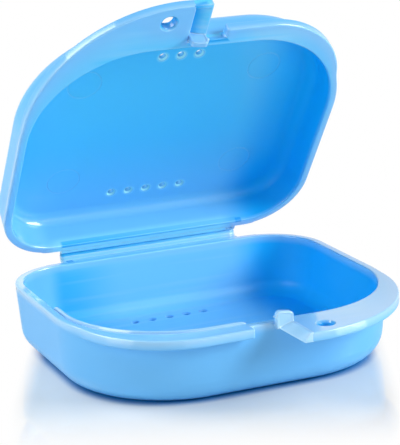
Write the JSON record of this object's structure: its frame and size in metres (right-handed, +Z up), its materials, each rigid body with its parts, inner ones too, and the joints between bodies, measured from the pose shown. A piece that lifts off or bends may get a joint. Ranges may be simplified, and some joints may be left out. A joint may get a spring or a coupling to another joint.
{
  "type": "retainer case",
  "caption": "Shallow round-cornered plastic case for a dental retainer, open on its film hinge, with twin side-by-side snap hooks, crescent thumb tabs and air holes.",
  "frame": {"origin": "centre of the tub's flat resting face", "axes": "+Z up out of the tub, +Y to the hinge at the back, +X along the hinge"},
  "size_m": [0.082, 0.0877, 0.0862],
  "materials": {
    "case": "satin sky-blue polypropylene",
    "film": "thin folded polypropylene film"
  },
  "bodies": {
    "base": {"base_shell": "case", "base_rim_lip": "case", "base_thumb_tab": "case", "base_latch_hook": "case", "base_hinge_land": "case", "base_locating_ridge": "case", "hinge_film": "film"},
    "lid": {"lid_shell": "case", "lid_rim_lip": "case", "lid_thumb_tab": "case", "lid_latch_hook": "case", "lid_hinge_land": "case"}
  },
  "joints": [
    {"name": "lid_hinge", "type": "hinge", "parent": "base", "child": "lid", "pos_m": [0, 0.0372, 0.0171], "axis": [-1, 0, 0], "range_deg": [-55, 125], "deforming": ["hinge_film"]}
  ]
}
